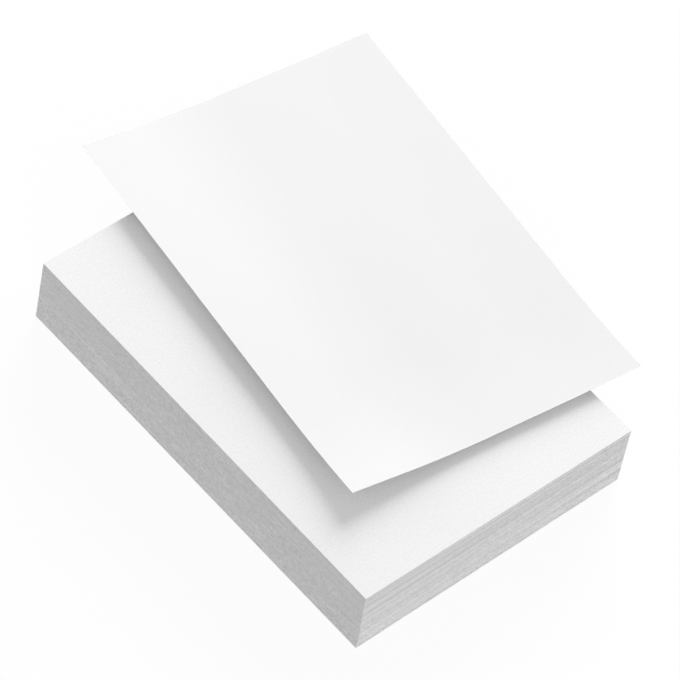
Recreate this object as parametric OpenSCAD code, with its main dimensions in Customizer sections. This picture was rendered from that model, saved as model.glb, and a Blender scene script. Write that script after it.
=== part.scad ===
// Ream of A4 paper, opened. Its sheets lie in one flat pile that was knocked square by hand, and the
// topmost sheet has slid off askew. It rests on the pile, with its front and both long edges curling up.
// X runs along the sheets' short edges and Y along their long edges. Z runs up from the pile's base.
// Lengths are in millimetres and turns in degrees.

/* [Sheet] */
// Width of every sheet, across the paper's grain
sheet_w = 210; // [190:1:230]
// Length of every sheet, along the grain
sheet_l = 297; // [270:1:330]
// Thickness of one sheet
caliper = 0.1; // [0.08:0.005:0.13]

/* [Pile] */
// Sheets in the pile, without the loose one
pile_sheets = 499; // [249:1:599]
// Slips in the pile, each of a few sheets that slid as one
slips = 50; // [20:1:80]
// Furthest that a slip strays sideways
jog = 0.12; // [0.02:0.01:0.3]

/* [Lifts] */
// Share of the slips in the bottom lift, the first handful set down
bottom_share = 0.41; // [0.3:0.01:0.5]
// Share of the slips in the middle lift
middle_share = 0.23; // [0.1:0.01:0.35]
// Setback of each lift's front behind the front of the lift below
lift_setback = 0.2; // [0.05:0.05:1]
// Turn of each lift on the one below, clockwise from above
lift_turn = 0.13; // [0:0.01:0.4]

/* [Loose sheet] */
// Middle of the loose sheet, to the right of the pile's middle
loose_right = 53; // [30:1:65]
// Middle of the loose sheet, behind the pile's middle
loose_back = 41.5; // [10:0.5:80]
// Turn of the loose sheet, clockwise from above
loose_turn = 7.25; // [0:0.25:12]

/* [Curl] */
// Width of the strip that rises along the left edge, measured on the flat sheet
curl_left = 100; // [60:1:104]
// Slope that the left strip rises to
slope_left = 6; // [1:0.1:10]
// Width of the strip that rises along the right edge
curl_right = 56; // [30:1:80]
// Slope that the right strip rises to
slope_right = 1.5; // [1:0.1:10]
// Share of each side strip that bends, next to the flat part. The rest runs out straight.
bend_share = 0.6; // [0.1:0.05:0.9]
// Width of the strip that curls up along the front edge
curl_front = 76; // [40:1:100]
// Slope of the sheet at its front edge
slope_front = 6.8; // [1:0.1:10]

/* [Hidden] */
pile_h = pile_sheets * caliper;
slip_h = pile_h / slips;
bottom_top = round(slips * bottom_share);
middle_top = bottom_top + round(slips * middle_share);

// Turn from one slip to the next in the wave that strays them along X, and along Y
beat_x = 107;
beat_y = 143;
// The second wave beats this much faster, is weaker and starts out of step
overtone = 2.7;
overtone_share = 0.4;
overtone_start = 60;
// Longer than any sheet, so that an outline runs right through the pile
through = sheet_w + sheet_l;
// Furthest that any slip's edge lies inside the bottom sheet's, with a little to spare
core_spare = 1;
core_margin = 2 * lift_setback + 2 * jog + sheet_l * sin(2 * lift_turn) + core_spare;

// Radius that the front edge curls up to
front_r = curl_front / slope_front * 180 / PI;
// Where the front curl starts, from the sheet's middle
front_start = curl_front - sheet_l / 2;
// Facets of a full circle at the front curl's radius
curl_facets = 720;
// Turn about the front curl's axis at which the sheet lies lowest, and flat
lowest = 90;
// Flat strips that stand for the bend of one side
bend_flats = 12;

paper = [0.95, 0.95, 0.94];
cut_edges = [0.82, 0.82, 0.81];

// Sideways stray of one slip: two waves that never fall in step
function stray(i, beat) = jog * ((1 - overtone_share) * sin(beat * i)
    + overtone_share * sin(overtone * beat * i + overtone_start));

// Stepped outline of the slips from first up to last, as wide as twice half
function stepped(half, beat, first, last) = concat(
    [for (i = [first : last - 1], end = [0, 1]) [half + stray(i, beat), (i + end) * slip_h]],
    [for (i = [last - 1 : -1 : first], end = [1, 0]) [-half + stray(i, beat), (i + end) * slip_h]]
);

// One lift: the outline seen from the front, crossed with the outline seen from the side
module lift(first, last, setback, turn) {
    translate([0, setback, 0])
        rotate([0, 0, -turn])
            intersection() {
                rotate([90, 0, 0])
                    linear_extrude(height = through, center = true)
                        polygon(stepped(sheet_w / 2, beat_x, first, last));
                rotate([90, 0, 90])
                    linear_extrude(height = through, center = true)
                        polygon(stepped(sheet_l / 2, beat_y, first, last));
            }
}

// The middle that all the sheets share, which makes one solid of the lifts
module core() {
    translate([0, 0, pile_h / 2])
        cube([sheet_w - 2 * core_margin, sheet_l - 2 * core_margin, pile_h], center = true);
}

module sheet_stack() {
    color(cut_edges)
        union() {
            core();
            lift(0, bottom_top, 0, 0);
            lift(bottom_top, middle_top, lift_setback, lift_turn);
            lift(middle_top, slips, 2 * lift_setback, 2 * lift_turn);
        }
}

// Underside of a side strip from the flat part outwards, as [reach, height, slope]. It bends evenly
// up to its slope and then runs out straight to the edge.
function side_strip(width, slope) = [
    let (bend_w = width * bend_share)
    for (
        i = 0, reach = 0, height = 0;
        i <= bend_flats + 1;
        tilt = slope * min((i + 0.5) / bend_flats, 1),
        step = i < bend_flats ? bend_w / bend_flats : width - bend_w,
        reach = reach + step * cos(tilt),
        height = height + step * sin(tilt),
        i = i + 1
    ) [reach, height, slope * min(i / bend_flats, 1)]
];

// Points of a side strip at a depth above its underside, as [height, across]. A side of -1 is the left.
function side_face(strip, start, side, depth) = [
    for (p = strip) [p[1] + depth * cos(p[2]), start + side * (p[0] - depth * sin(p[2]))]
];

function reversed(list) = [for (i = [len(list) - 1 : -1 : 0]) list[i]];

// Section across the sheet. Its X runs down from the front curl's axis, and its Y runs to the left.
module cross_section() {
    left_strip = side_strip(curl_left, slope_left);
    right_strip = side_strip(curl_right, slope_right);
    left_start = sheet_w / 2 - curl_left;
    right_start = curl_right - sheet_w / 2;
    lower = concat(
        reversed(side_face(left_strip, left_start, 1, 0)),
        side_face(right_strip, right_start, -1, 0)
    );
    upper = concat(
        reversed(side_face(right_strip, right_start, -1, caliper)),
        side_face(left_strip, left_start, 1, caliper)
    );
    polygon([for (p = concat(lower, upper)) [front_r - p[0], p[1]]]);
}

// The sheet at rest: the section drawn straight back, and swung forwards about the front curl's axis
module loose_sheet() {
    color(paper)
        translate([loose_right, loose_back, pile_h])
            rotate([0, 0, -loose_turn])
                translate([0, front_start, front_r]) {
                    rotate([0, 90, 90])
                        linear_extrude(height = sheet_l - curl_front)
                            cross_section();
                    rotate([-90, 0, 90])
                        rotate([0, 0, lowest])
                            rotate_extrude(angle = slope_front, $fn = curl_facets)
                                cross_section();
                }
}

sheet_stack();
loose_sheet();
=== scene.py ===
"""Looks of an opened ream of A4 paper: a squared-up pile of sheets, and a loose sheet askew on top.

Everything is in metres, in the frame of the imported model: X along the sheets' short edges, Y along
their long edges, and Z up from the underside of the bottom sheet.
"""

import logging
import math
from dataclasses import dataclass, field
from enum import Enum
from typing import Any, Optional, Union

import bpy
from mathutils import Matrix, Vector


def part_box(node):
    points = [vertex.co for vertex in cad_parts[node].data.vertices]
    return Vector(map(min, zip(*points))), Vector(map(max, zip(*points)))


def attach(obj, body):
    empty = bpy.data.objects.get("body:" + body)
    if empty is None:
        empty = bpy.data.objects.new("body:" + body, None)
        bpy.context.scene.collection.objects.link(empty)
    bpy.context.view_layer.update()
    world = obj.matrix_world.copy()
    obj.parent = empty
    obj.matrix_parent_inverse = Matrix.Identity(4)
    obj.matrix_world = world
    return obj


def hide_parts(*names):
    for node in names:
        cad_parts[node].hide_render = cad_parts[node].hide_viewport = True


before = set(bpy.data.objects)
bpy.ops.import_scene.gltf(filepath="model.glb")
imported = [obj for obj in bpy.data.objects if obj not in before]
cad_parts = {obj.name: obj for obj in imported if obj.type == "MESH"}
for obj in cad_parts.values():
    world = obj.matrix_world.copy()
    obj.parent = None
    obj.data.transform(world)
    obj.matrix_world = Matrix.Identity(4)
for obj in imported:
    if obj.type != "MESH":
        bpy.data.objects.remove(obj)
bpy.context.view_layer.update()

Point = tuple[float, float, float]
Colour = tuple[float, float, float, float]

MM = 0.001
# Halfway: the average of a noise, the even mix of two colours, or the middle of a leaf, slip or sheet
MIDDLE = 0.5
# A leaf's face looks along an axis where its normal leans at least this much that way
FACING = 0.5
BODY = "root"
log = logging.getLogger("ream")


class Side(Enum):
    """A long edge of the loose sheet, as the way that X runs towards it."""

    LEFT = -1
    RIGHT = 1


class Run(Enum):
    """The way that a cut edge runs, as the axis that lies along it."""

    SHORT_EDGE = 0
    LONG_EDGE = 1


class Value:
    """A socket of a node tree that takes part in sums as a number does."""

    def __init__(self, graph: "Graph", socket: bpy.types.NodeSocket) -> None:
        """Wraps a socket.

        Args:
            graph: The tree that the socket's node is in.
            socket: An output socket that carries one number.
        """
        self.graph = graph
        self.socket = socket

    def _math(self, operation: str, first: Any, second: Any = 0.0) -> "Value":
        """Adds one Math node.

        Args:
            operation: The node's operation.
            first: Its first number or value.
            second: Its second number or value.

        Returns:
            The node's result.
        """
        made = self.graph.node("ShaderNodeMath", {"operation": operation}, {0: first, 1: second})
        return Value(self.graph, made.outputs[0])

    def __add__(self, other: Any) -> "Value":
        """Returns this value plus the other."""
        return self._math("ADD", self, other)

    def __radd__(self, other: Any) -> "Value":
        """Returns the other plus this value."""
        return self._math("ADD", other, self)

    def __sub__(self, other: Any) -> "Value":
        """Returns this value less the other."""
        return self._math("SUBTRACT", self, other)

    def __rsub__(self, other: Any) -> "Value":
        """Returns the other less this value."""
        return self._math("SUBTRACT", other, self)

    def __mul__(self, other: Any) -> "Value":
        """Returns this value times the other."""
        return self._math("MULTIPLY", self, other)

    def __rmul__(self, other: Any) -> "Value":
        """Returns the other times this value."""
        return self._math("MULTIPLY", other, self)

    def __truediv__(self, other: Any) -> "Value":
        """Returns this value divided by the other."""
        return self._math("DIVIDE", self, other)

    def __gt__(self, other: Any) -> "Value":
        """Returns 1 where this value is above the other, and 0 elsewhere."""
        return self._math("GREATER_THAN", self, other)

    def __abs__(self) -> "Value":
        """Returns this value without its sign."""
        return self._math("ABSOLUTE", self)

    def floor(self) -> "Value":
        """Returns the whole number at or below this value."""
        return self._math("FLOOR", self)

    def sine(self) -> "Value":
        """Returns the sine of this value, which is an angle in radians."""
        return self._math("SINE", self)

    def cosine(self) -> "Value":
        """Returns the cosine of this value, which is an angle in radians."""
        return self._math("COSINE", self)

    def larger(self, other: Any) -> "Value":
        """Returns the larger of this value and the other."""
        return self._math("MAXIMUM", self, other)


class Graph:
    """A node tree that is filled by a few plain calls."""

    def __init__(self, tree: bpy.types.NodeTree) -> None:
        """Empties a tree.

        Args:
            tree: The tree of a material, a world or a Geometry Nodes modifier.
        """
        self.tree = tree
        tree.nodes.clear()

    def node(
        self,
        kind: str,
        settings: Optional[dict[str, Any]] = None,
        inputs: Optional[dict[Union[int, str], Any]] = None,
    ) -> bpy.types.Node:
        """Adds one node.

        Args:
            kind: The node's type.
            settings: Its own settings, which are set first. "stops" fills a colour ramp.
            inputs: Numbers, colours, values or sockets for its inputs, by place or name.

        Returns:
            The node.
        """
        made = self.tree.nodes.new(kind)
        for name, setting in (settings or {}).items():
            if name == "stops":
                self._fill_ramp(made.color_ramp, setting)
            else:
                setattr(made, name, setting)
        for key, given in (inputs or {}).items():
            self.feed(made.inputs[key], given)
        return made

    def feed(self, target: bpy.types.NodeSocket, given: Any) -> None:
        """Links a value to an input, or sets a constant on it.

        Args:
            target: The input socket.
            given: A Value, an output socket or a constant.
        """
        if isinstance(given, Value):
            self.tree.links.new(given.socket, target)
        elif isinstance(given, bpy.types.NodeSocket):
            self.tree.links.new(given, target)
        else:
            target.default_value = given

    @staticmethod
    def _fill_ramp(ramp: bpy.types.ColorRamp, stops: list[tuple[float, float]]) -> None:
        """Sets a ramp's stops.

        Args:
            ramp: The ramp, with its first two stops as made.
            stops: Place and grey level of each stop, from the lowest place up.
        """
        while len(ramp.elements) < len(stops):
            ramp.elements.new(1.0)
        for element, (place, level) in zip(ramp.elements, stops):
            element.position = place
            element.color = (level, level, level, 1.0)

    def value(self, socket: bpy.types.NodeSocket) -> Value:
        """Returns a socket as a value that sums can use."""
        return Value(self, socket)

    def vector(self, x: Any, y: Any, z: Any) -> bpy.types.NodeSocket:
        """Returns a vector made of three numbers or values."""
        return self.node("ShaderNodeCombineXYZ", None, {0: x, 1: y, 2: z}).outputs[0]

    def split(self, vector: bpy.types.NodeSocket) -> tuple[Value, Value, Value]:
        """Returns a vector's three parts as values."""
        parts = self.node("ShaderNodeSeparateXYZ", None, {0: vector}).outputs
        return self.value(parts[0]), self.value(parts[1]), self.value(parts[2])

    def noise(self, place: bpy.types.NodeSocket, scale: float, detail: float = 2.0) -> Value:
        """Adds a noise texture.

        Args:
            place: Where the noise is read.
            scale: Features per metre, or per unit of the place.
            detail: How many finer layers it has.

        Returns:
            The noise, from 0 to 1 and about one half on average.
        """
        made = self.node("ShaderNodeTexNoise", None, {"Vector": place, "Scale": scale, "Detail": detail})
        return self.value(made.outputs[0])

    def ramp(self, given: Value, stops: list[tuple[float, float]]) -> Value:
        """Returns a value passed through a grey ramp with these stops."""
        made = self.node("ShaderNodeValToRGB", {"stops": stops}, {0: given})
        return self.value(made.outputs[0])

    def blend(self, share: Any, low: Any, high: Any) -> bpy.types.NodeSocket:
        """Mixes two colours.

        Args:
            share: How much of the second colour shows, from 0 to 1.
            low: The first colour.
            high: The second colour.

        Returns:
            The mixed colour.
        """
        made = self.node("ShaderNodeMix", {"data_type": "RGBA"}, {0: share, 6: low, 7: high})
        return made.outputs[2]


def new_material(name: str) -> tuple[bpy.types.Material, Graph]:
    """Makes an empty material.

    Args:
        name: The material's name.

    Returns:
        The material and its node tree.
    """
    material = bpy.data.materials.new(name)
    material.use_nodes = True
    return material, Graph(material.node_tree)


def grey(level: float) -> Colour:
    """Returns a grey of this level."""
    return (level, level, level, 1.0)


@dataclass(frozen=True)
class SheetFace:
    """The smooth face of an uncoated white sheet, faintly cloudy where its fibres clump."""

    name: str = "sheet_face"
    clear: Colour = grey(0.9)
    cloudy: Colour = grey(0.86)
    contrast: float = 1.4
    cloud_per_m: float = 700.0
    drift_per_m: float = 9.0
    drift_share: float = 0.3
    fibre_per_m: float = 2600.0
    fibre_height: float = 0.012 * MM
    fibre_strength: float = 0.5
    roughness: float = 0.82
    smoothing: float = 0.06
    sheen: float = 0.12

    def material(self) -> bpy.types.Material:
        """Mixes fine clouds with a slow drift, and raises the fibres a little.

        Returns:
            The material.
        """
        material, graph = new_material(self.name)
        place = graph.node("ShaderNodeTexCoord").outputs["Object"]
        cloud = graph.noise(place, self.cloud_per_m, detail=4.0)
        drift = graph.noise(place, self.drift_per_m, detail=1.0)
        fibre = graph.noise(place, self.fibre_per_m, detail=3.0)
        mixed = cloud * (1 - self.drift_share) + drift * self.drift_share
        share = MIDDLE + (mixed - MIDDLE) * self.contrast
        colour = graph.blend(share, self.cloudy, self.clear)
        bump = graph.node(
            "ShaderNodeBump",
            None,
            {"Strength": self.fibre_strength, "Distance": self.fibre_height, "Height": fibre},
        )
        shader = graph.node(
            "ShaderNodeBsdfPrincipled",
            None,
            {
                "Base Color": colour,
                "Roughness": self.roughness - self.smoothing * cloud,
                "Specular IOR Level": self.sheen,
                "Normal": bump.outputs[0],
            },
        )
        graph.node("ShaderNodeOutputMaterial", None, {0: shader.outputs[0]})
        return material


@dataclass(frozen=True)
class CutEdges:
    """The guillotined edges of a pile: fine lines that run along it, softly broken by grain."""

    name: str
    run: Run
    dark: Colour
    light: Colour
    streak_contrast: float
    band_contrast: float
    grain_contrast: float
    streaks_per_m: float
    streak_length: float
    # Grey levels by height: partly each lift's own tone, partly painted light and painted shade
    lifts: tuple[tuple[float, float], ...]
    bands_per_m: float = 170.0
    band_pace: float = 0.6
    grain_per_m: float = 900.0
    grain_relief: float = 0.4
    relief_depth: float = 0.05 * MM
    relief_strength: float = 0.4
    pile_height: float = 49.9 * MM
    roughness: float = 0.9
    smoothing: float = 0.08
    sheen: float = 0.2

    def material(self) -> bpy.types.Material:
        """Adds streaks, broader bands, grain, and a tone by height that is partly each lift's own and partly
        painted light and shade.

        Returns:
            The material.
        """
        material, graph = new_material(self.name)
        place = graph.node("ShaderNodeTexCoord").outputs["Object"]
        parts = graph.split(place)
        along, across, height = parts[self.run.value], parts[1 - self.run.value], parts[2]
        slow = along / self.streak_length
        streak_place = graph.vector(slow, across, height * self.streaks_per_m)
        band_place = graph.vector(slow * self.band_pace, across, height * self.bands_per_m)
        streak = graph.noise(streak_place, scale=1.0, detail=3.0)
        band = graph.noise(band_place, scale=1.0, detail=1.0)
        grain = graph.noise(place, self.grain_per_m, detail=4.0)
        tone = MIDDLE + (streak - MIDDLE) * self.streak_contrast + (band - MIDDLE) * self.band_contrast
        tone = tone + (grain - MIDDLE) * self.grain_contrast
        # Tone by height: partly each lift's own, partly painted light (lighter towards the bottom) and
        # painted shade
        tone = tone + graph.ramp(height / self.pile_height, list(self.lifts)) - MIDDLE
        colour = graph.blend(tone, self.dark, self.light)
        bump = graph.node(
            "ShaderNodeBump",
            None,
            {
                "Strength": self.relief_strength,
                "Distance": self.relief_depth,
                "Height": streak + self.grain_relief * grain,
            },
        )
        shader = graph.node(
            "ShaderNodeBsdfPrincipled",
            None,
            {
                "Base Color": colour,
                "Roughness": self.roughness - self.smoothing * streak,
                "Specular IOR Level": self.sheen,
                "Normal": bump.outputs[0],
            },
        )
        graph.node("ShaderNodeOutputMaterial", None, {0: shader.outputs[0]})
        return material


@dataclass(frozen=True)
class Finishes:
    """The materials that both pieces share."""

    face: bpy.types.Material
    top: bpy.types.Material
    short_edges: bpy.types.Material
    long_edges: bpy.types.Material

    @classmethod
    def make(cls) -> "Finishes":
        """Makes the material of every finish.

        Returns:
            The finishes.
        """
        return cls(
            face=SheetFace().material(),
            # The pile's top is the sheet's paper made lighter, as painted light that makes up for the less
            # light it gets
            top=SheetFace("pile_face_painted_lighter", clear=grey(0.97), cloudy=grey(0.886), contrast=3.2).material(),
            short_edges=CutEdges(
                "short_cut_edges",
                Run.SHORT_EDGE,
                dark=grey(0.585),
                light=grey(0.92),
                streak_contrast=3.0,
                band_contrast=0.4,
                grain_contrast=2.9,
                streaks_per_m=620.0,
                streak_length=350 * MM,
                # Painted shade in the seams between lifts (0.41, 0.64), painted highlights on the ledges
                # just below them (0.395, 0.625), and the bottom partly lighter as painted light against the
                # shade near the floor; the rest is each lift's own tone
                lifts=(
                    (0.0, 0.66),
                    (0.30, 0.64),
                    (0.395, 0.68),
                    (0.41, 0.30),
                    (0.43, 0.50),
                    (0.56, 0.54),
                    (0.625, 0.60),
                    (0.64, 0.24),
                    (0.66, 0.40),
                    (1.0, 0.46),
                ),
            ).material(),
            long_edges=CutEdges(
                "long_cut_edges",
                Run.LONG_EDGE,
                # These greys are partly painted shade: darker than the short edges' to stand for the less
                # light that the left side gets
                dark=(0.562, 0.553, 0.558, 1.0),
                light=(0.869, 0.856, 0.863, 1.0),
                streak_contrast=0.9,
                band_contrast=0.2,
                grain_contrast=3.0,
                streaks_per_m=900.0,
                streak_length=50 * MM,
                # Painted light: lighter towards the bottom, against the shade near the floor
                lifts=((0.0, 0.60), (1.0, 0.46)),
            ).material(),
        )


@dataclass
class Pile:
    """The squared-up pile, sheet by sheet, as it parts into slips and lifts."""

    finishes: Finishes
    sheet_size: tuple[float, float] = (210 * MM, 297 * MM)
    sheet_count: int = 499
    slip_count: int = 50
    jog: float = 0.12 * MM
    bottom_share: float = 0.41
    middle_share: float = 0.23
    lift_setback: float = 0.2 * MM
    lift_turn: float = math.radians(0.13)
    beats: tuple[float, float] = (107.0, 143.0)
    overtone: float = 2.7
    overtone_share: float = 0.4
    overtone_start: float = 60.0
    scatter: float = 0.05 * MM
    air_share: float = 0.06
    seed: int = 7
    height: float = field(init=False)

    def __post_init__(self) -> None:
        """Takes the pile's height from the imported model."""
        low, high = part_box("sheet_stack")
        self.height = high.z - low.z

    @property
    def inputs(self) -> dict[str, tuple[str, Any]]:
        """Lists the tree's named inputs.

        Returns:
            Each input's kind of socket and its value, by the input's name.
        """
        bottom_top = round(self.slip_count * self.bottom_share)
        middle_top = bottom_top + round(self.slip_count * self.middle_share)
        pitch = self.height / self.sheet_count
        return {
            "Sheet Count": ("NodeSocketInt", self.sheet_count),
            "Sheets In A Slip": ("NodeSocketFloat", self.sheet_count / self.slip_count),
            "Pitch": ("NodeSocketFloat", pitch),
            "Sheet Width": ("NodeSocketFloat", self.sheet_size[0] - 2 * self.scatter),
            "Sheet Length": ("NodeSocketFloat", self.sheet_size[1] - 2 * self.scatter),
            "Sheet Thickness": ("NodeSocketFloat", pitch * (1 - self.air_share)),
            "Jog": ("NodeSocketFloat", self.jog),
            "Scatter": ("NodeSocketFloat", self.scatter),
            "Bottom Lift Top": ("NodeSocketFloat", bottom_top - MIDDLE),
            "Middle Lift Top": ("NodeSocketFloat", middle_top - MIDDLE),
            "Lift Setback": ("NodeSocketFloat", self.lift_setback),
            "Lift Turn": ("NodeSocketFloat", self.lift_turn),
            "Seed": ("NodeSocketInt", self.seed),
        }

    def _stray(self, slip: Value, beat: float, jog: Value) -> Value:
        """Works out how far a slip strays sideways.

        Args:
            slip: The slip's number.
            beat: Turn in degrees from one slip to the next.
            jog: The furthest that a slip strays.

        Returns:
            The stray along one axis.
        """
        main_wave = (slip * math.radians(beat)).sine()
        second_turn = slip * math.radians(beat * self.overtone) + math.radians(self.overtone_start)
        second_wave = second_turn.sine()
        return jog * ((1 - self.overtone_share) * main_wave + self.overtone_share * second_wave)

    def _tree(self) -> bpy.types.NodeTree:
        """Builds the tree that lays one leaf on the next.

        Returns:
            The tree, with an input for each of the pile's sizes.
        """
        tree = bpy.data.node_groups.new("pile_leaves", "GeometryNodeTree")
        graph = Graph(tree)
        for name, (kind, _) in self.inputs.items():
            tree.interface.new_socket(name=name, in_out="INPUT", socket_type=kind)
        tree.interface.new_socket(name="Geometry", in_out="OUTPUT", socket_type="NodeSocketGeometry")
        given = graph.node("NodeGroupInput").outputs
        read = {name: graph.value(given[name]) for name in self.inputs}

        index = graph.value(graph.node("GeometryNodeInputIndex").outputs[0])
        slip = ((index + MIDDLE) / read["Sheets In A Slip"]).floor()
        lift = (slip > read["Bottom Lift Top"]) + (slip > read["Middle Lift Top"])
        stray_x = self._stray(slip, self.beats[0], read["Jog"])
        stray_y = self._stray(slip, self.beats[1], read["Jog"])
        turn = 0.0 - lift * read["Lift Turn"]
        scatter = read["Scatter"]
        spread = graph.node(
            "FunctionNodeRandomValue",
            {"data_type": "FLOAT_VECTOR"},
            {
                "Min": (-1.0, -1.0, 0.0),
                "Max": (1.0, 1.0, 0.0),
                "Seed": read["Seed"],
            },
        )
        random_x, random_y, _ = graph.split(spread.outputs[0])
        shift_x = stray_x * turn.cosine() - stray_y * turn.sine() + random_x * scatter
        shift_y = stray_x * turn.sine() + stray_y * turn.cosine() + random_y * scatter
        shift_y = shift_y + lift * read["Lift Setback"]

        line = graph.node(
            "GeometryNodeMeshLine",
            {"mode": "OFFSET"},
            {
                "Count": read["Sheet Count"],
                "Start Location": graph.vector(0.0, 0.0, read["Pitch"] * MIDDLE),
                "Offset": graph.vector(0.0, 0.0, read["Pitch"]),
            },
        )
        placed = graph.node(
            "GeometryNodeSetPosition",
            None,
            {"Geometry": line.outputs[0], "Offset": graph.vector(shift_x, shift_y, 0.0)},
        )
        leaf = graph.node(
            "GeometryNodeMeshCube",
            None,
            {
                "Size": graph.vector(read["Sheet Width"], read["Sheet Length"], read["Sheet Thickness"]),
                "Vertices X": 2,
                "Vertices Y": 2,
                "Vertices Z": 2,
            },
        )
        heading = graph.node("FunctionNodeEulerToRotation", None, {0: graph.vector(0.0, 0.0, turn)})
        leaves = graph.node(
            "GeometryNodeInstanceOnPoints",
            None,
            {
                "Points": placed.outputs[0],
                "Instance": leaf.outputs[0],
                "Rotation": heading.outputs[0],
            },
        )
        made = graph.node("GeometryNodeRealizeInstances", None, {0: leaves.outputs[0]}).outputs[0]
        facing_x, facing_y, _ = graph.split(graph.node("GeometryNodeInputNormal").outputs[0])
        for material, chosen in (
            (self.finishes.top, True),
            (self.finishes.long_edges, abs(facing_x) > FACING),
            (self.finishes.short_edges, abs(facing_y) > FACING),
        ):
            dressed = graph.node(
                "GeometryNodeSetMaterial",
                None,
                {"Geometry": made, "Selection": chosen, "Material": material},
            )
            made = dressed.outputs[0]
        graph.node("NodeGroupOutput", None, {0: made})
        return tree

    def build(self) -> bpy.types.Object:
        """Builds the pile as one plain mesh in place of its solid.

        Returns:
            The piece, which rides on the body.
        """
        piece = bpy.data.objects.new("pile_of_sheets", bpy.data.meshes.new("pile_of_sheets"))
        bpy.context.scene.collection.objects.link(piece)
        modifier = piece.modifiers.new("leaves", "NODES")
        tree = self._tree()
        modifier.node_group = tree
        for item in tree.interface.items_tree:
            if item.in_out == "INPUT" and item.name in self.inputs:
                modifier[item.identifier] = self.inputs[item.name][1]
        bpy.context.view_layer.update()
        graph = bpy.context.evaluated_depsgraph_get()
        mesh = bpy.data.meshes.new_from_object(piece.evaluated_get(graph), depsgraph=graph)
        piece.modifiers.clear()
        piece.data = mesh
        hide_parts("sheet_stack")
        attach(piece, BODY)
        return piece


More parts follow.
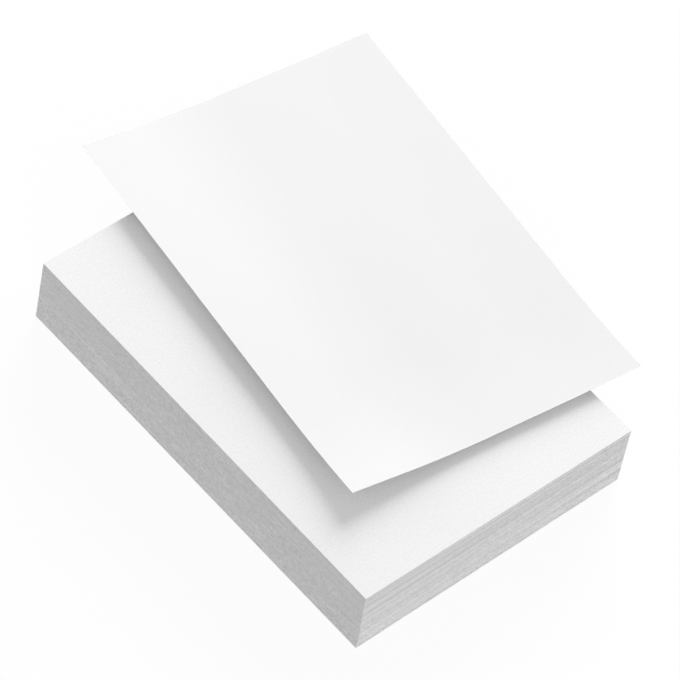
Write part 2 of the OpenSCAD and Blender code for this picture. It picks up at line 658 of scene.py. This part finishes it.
@dataclass
class LooseSheet:
    """The sheet that lies askew on the pile, with its front and both long edges curling up."""

    finishes: Finishes
    sheet_size: tuple[float, float] = (210 * MM, 297 * MM)
    thickness: float = 0.1 * MM
    spare: float = 0.02 * MM
    middle: tuple[float, float] = (53 * MM, 41.5 * MM)
    turn: float = math.radians(-7.25)
    strip_width: dict[Side, float] = field(
        default_factory=lambda: {Side.LEFT: 100 * MM, Side.RIGHT: 56 * MM}
    )
    strip_slope: dict[Side, float] = field(
        default_factory=lambda: {Side.LEFT: math.radians(6), Side.RIGHT: math.radians(1.5)}
    )
    bend_share: float = 0.6
    curl_front: float = 76 * MM
    slope_front: float = math.radians(6.8)
    steps_across: int = 60
    steps_along: int = 70
    sharp_angle: float = math.radians(40)

    def section(self, across: float, depth: float) -> tuple[float, float]:
        """Follows the sheet crosswise, with its side strips raised.

        Args:
            across: Place across the flat sheet, from its middle.
            depth: Distance above its underside.

        Returns:
            Place across once the sides are raised, and height above the flat part's level.
        """
        side = Side.LEFT if across < 0 else Side.RIGHT
        start = self.sheet_size[0] / 2 - self.strip_width[side]
        past = abs(across) - start
        if past <= 0:
            return across, depth
        bend_width = self.strip_width[side] * self.bend_share
        radius = bend_width / self.strip_slope[side]
        turn = min(past, bend_width) / radius
        straight = max(0.0, past - bend_width)
        reach = radius * math.sin(turn) + straight * math.cos(turn) - depth * math.sin(turn)
        height = radius * (1 - math.cos(turn)) + straight * math.sin(turn) + depth * math.cos(turn)
        return side.value * (start + reach), height

    def place(self, across: float, along: float, depth: float) -> Vector:
        """Finds where a point of the flat sheet lies once the sheet has curled.

        Args:
            across: Place across the flat sheet, from its middle.
            along: Place along it, from its middle.
            depth: Distance above its underside.

        Returns:
            The point, from the middle of the flat part's level.
        """
        x, height = self.section(across, depth)
        start = self.curl_front - self.sheet_size[1] / 2
        if along >= start:
            return Vector((x, along, height))
        axis = self.curl_front / self.slope_front
        turn = (start - along) / axis
        return Vector((x, start - (axis - height) * math.sin(turn), axis - (axis - height) * math.cos(turn)))

    def _points(self) -> list[Vector]:
        """Lays out the points of the underside, and then those of the upper side.

        Returns:
            The points of each side, column by column from the left and from the front back.
        """
        width, length = (edge - 2 * self.spare for edge in self.sheet_size)
        return [
            self.place(
                width * (column / self.steps_across - MIDDLE),
                length * (row / self.steps_along - MIDDLE),
                depth,
            )
            for depth in (0.0, self.thickness)
            for column in range(self.steps_across + 1)
            for row in range(self.steps_along + 1)
        ]

    def _point_number(self, column: int, row: int, layer: int = 0) -> int:
        """Returns the number of a point, by its column, row and layer."""
        return (layer * (self.steps_across + 1) + column) * (self.steps_along + 1) + row

    def _wide_faces(self) -> list[list[int]]:
        """Joins the points of the underside and of the upper side.

        Returns:
            The faces, as rings of point numbers.
        """
        at = self._point_number
        upper = at(0, 0, 1)
        faces = []
        for column in range(self.steps_across):
            for row in range(self.steps_along):
                ring = [at(column, row), at(column, row + 1), at(column + 1, row + 1), at(column + 1, row)]
                faces.append(ring)
                faces.append([upper + corner for corner in reversed(ring)])
        return faces

    def _edge_faces(self) -> list[list[int]]:
        """Joins the two sides along the sheet's four thin edges.

        Returns:
            The faces, as rings of point numbers.
        """
        at = self._point_number
        faces = []
        last = self.steps_along
        for column in range(self.steps_across):
            front = [at(column, 0), at(column + 1, 0), at(column + 1, 0, 1), at(column, 0, 1)]
            back = [at(column, last, 1), at(column + 1, last, 1), at(column + 1, last), at(column, last)]
            faces.extend((front, back))
        end = self.steps_across
        for row in range(self.steps_along):
            left = [at(0, row, 1), at(0, row + 1, 1), at(0, row + 1), at(0, row)]
            right = [at(end, row), at(end, row + 1), at(end, row + 1, 1), at(end, row, 1)]
            faces.extend((left, right))
        return faces

    def build(self) -> bpy.types.Object:
        """Builds the sheet as a thin closed shell in place of its solid.

        Returns:
            The piece, which rides on the body.
        """
        wide_faces = self._wide_faces()
        top_of_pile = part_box("sheet_stack")[1].z
        placing = Matrix.Translation((*self.middle, top_of_pile)) @ Matrix.Rotation(self.turn, 4, "Z")
        mesh = bpy.data.meshes.new("loose_leaf")
        points = [placing @ point for point in self._points()]
        mesh.from_pydata(points, [], wide_faces + self._edge_faces())
        mesh.materials.append(self.finishes.face)
        mesh.validate()
        for face in mesh.polygons:
            face.use_smooth = face.index < len(wide_faces)
        mesh.set_sharp_from_angle(angle=self.sharp_angle)
        piece = bpy.data.objects.new("loose_leaf", mesh)
        bpy.context.scene.collection.objects.link(piece)
        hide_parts("loose_sheet")
        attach(piece, BODY)
        return piece


@dataclass
class Studio:
    """A white floor and soft light.

    The levels of the dome, key and fill are how bright each makes a white, level surface. The floor's
    grey is what the lights meet, and its glow is the share of plain white in what the camera sees.
    """

    floor_half: float = 6.0
    floor_grey: float = 0.12
    floor_glow: float = 0.93
    dome_level: float = 0.545
    key_level: float = 0.4
    key_lean: tuple[float, float] = (2.2, 1.4)
    key_width: float = math.radians(38)
    key_distance: float = 5.0
    fill_level: float = 0.05
    fill_lean: tuple[float, float] = (-6.5, -9.6)
    fill_width: float = math.radians(8)
    fill_distance: float = 10.0

    def _floor(self) -> None:
        """Lays the floor, which is seen as plain white with a part of the object's shadow on it."""
        material, graph = new_material("studio_floor")
        seen = self._seen(graph)
        colour = graph.blend(seen, grey(self.floor_grey), grey(1.0))
        lit = graph.node("ShaderNodeBsdfDiffuse", None, {"Color": colour}).outputs[0]
        glow = graph.node("ShaderNodeEmission", None, {"Color": grey(1.0), "Strength": 1.0}).outputs[0]
        shader = graph.node("ShaderNodeMixShader", None, {0: seen * self.floor_glow, 1: lit, 2: glow})
        graph.node("ShaderNodeOutputMaterial", None, {0: shader.outputs[0]})
        half = self.floor_half
        corners = [(-half, -half, 0), (half, -half, 0), (half, half, 0), (-half, half, 0)]
        mesh = bpy.data.meshes.new("studio_floor")
        mesh.from_pydata(corners, [], [(0, 1, 2, 3)])
        mesh.materials.append(material)
        floor = bpy.data.objects.new("studio_floor", mesh)
        bpy.context.scene.collection.objects.link(floor)

    @staticmethod
    def _seen(graph: Graph) -> Value:
        """Tells rays that show the background from light that the scene throws.

        Args:
            graph: The tree of a material or the world.

        Returns:
            1 for rays that show it, and 0 for others.
        """
        rays = graph.node("ShaderNodeLightPath").outputs
        camera, glossy = graph.value(rays["Is Camera Ray"]), graph.value(rays["Is Glossy Ray"])
        return camera.larger(glossy).larger(graph.value(rays["Is Transmission Ray"]))

    def _dome(self) -> None:
        """Sets the world's even light, which is plain white where it is seen."""
        world = bpy.data.worlds.new("studio_dome")
        world.use_nodes = True
        bpy.context.scene.world = world
        graph = Graph(world.node_tree)
        level = self.dome_level + (1 - self.dome_level) * self._seen(graph)
        shader = graph.node("ShaderNodeBackground", None, {"Color": grey(1.0), "Strength": level})
        graph.node("ShaderNodeOutputWorld", None, {0: shader.outputs[0]})

    @staticmethod
    def _hang(data: bpy.types.Light, towards: Vector, distance: float) -> None:
        """Hangs a lamp that points at the object.

        Args:
            data: The lamp's light.
            towards: The way to the lamp, as a unit vector.
            distance: How far off it hangs.
        """
        lamp = bpy.data.objects.new(data.name, data)
        lamp.rotation_mode = "QUATERNION"
        lamp.rotation_quaternion = towards.to_track_quat("Z", "Y")
        lamp.location = towards * distance
        bpy.context.scene.collection.objects.link(lamp)

    def _key(self) -> None:
        """Hangs the broad round lamp that throws the shadows, near enough to fade across the pile."""
        towards = Vector((*self.key_lean, 1.0)).normalized()
        radius = self.key_distance * math.tan(self.key_width / 2)
        data = bpy.data.lights.new("key_lamp", "AREA")
        data.shape = "DISK"
        data.size = 2 * radius
        data.energy = self.key_level * math.pi**2 * (radius**2 + self.key_distance**2) / towards.z
        self._hang(data, towards, self.key_distance)

    def _fill(self) -> None:
        """Hangs the far, low lamp that lights the sides which the key leaves dark."""
        towards = Vector((*self.fill_lean, 1.0)).normalized()
        data = bpy.data.lights.new("fill_lamp", "SUN")
        data.energy = self.fill_level * math.pi / towards.z
        data.angle = self.fill_width
        self._hang(data, towards, self.fill_distance)

    def build(self) -> None:
        """Builds the floor and the lights."""
        self._floor()
        self._dome()
        self._key()
        self._fill()
        view = bpy.context.scene.view_settings
        view.view_transform = "Standard"


@dataclass
class PhotoCamera:
    """The camera that took the photograph: far off, with a long lens and its head tilted."""

    aim: Point = (20.3 * MM, 15.6 * MM, 25 * MM)
    azimuth: float = math.radians(50.9)
    elevation: float = math.radians(51.7)
    roll: float = math.radians(12.67)
    distance: float = 3.347
    lens_mm: float = 295.0
    sensor_mm: float = 36.0
    near_clip: float = 0.1
    far_clip: float = 50.0

    def build(self) -> bpy.types.Object:
        """Sets the camera in its place.

        Returns:
            The scene's camera.
        """
        level = math.cos(self.elevation)
        back = Vector(
            (-math.sin(self.azimuth) * level, -math.cos(self.azimuth) * level, math.sin(self.elevation))
        )
        right = (-back).cross(Vector((0, 0, 1))).normalized()
        up = back.cross(right)
        rolled_up = up * math.cos(self.roll) - right * math.sin(self.roll)
        rolled_right = right * math.cos(self.roll) + up * math.sin(self.roll)
        data = bpy.data.cameras.new("photo_camera")
        data.lens = self.lens_mm
        data.sensor_width = self.sensor_mm
        data.clip_start = self.near_clip
        data.clip_end = self.far_clip
        camera = bpy.data.objects.new("photo_camera", data)
        axes = Matrix((rolled_right, rolled_up, back)).transposed().to_4x4()
        camera.matrix_world = Matrix.Translation(Vector(self.aim) + back * self.distance) @ axes
        bpy.context.scene.collection.objects.link(camera)
        bpy.context.scene.camera = camera
        return camera


def report(piece: bpy.types.Object) -> None:
    """Logs what a piece is made of.

    Args:
        piece: The finished piece.
    """
    mesh = piece.data
    mesh.calc_loop_triangles()
    size = [round(side / MM, 1) for side in piece.dimensions]
    log.info("%s: %d triangles, %s mm", piece.name, len(mesh.loop_triangles), size)


def main() -> None:
    """Builds the ream and its studio, and reports each piece."""
    logging.basicConfig(level=logging.INFO, format="%(name)s: %(message)s")
    PhotoCamera().build()
    Studio().build()
    finishes = Finishes.make()
    for part in (Pile(finishes), LooseSheet(finishes)):
        report(part.build())


if __name__ == "__main__":
    main()
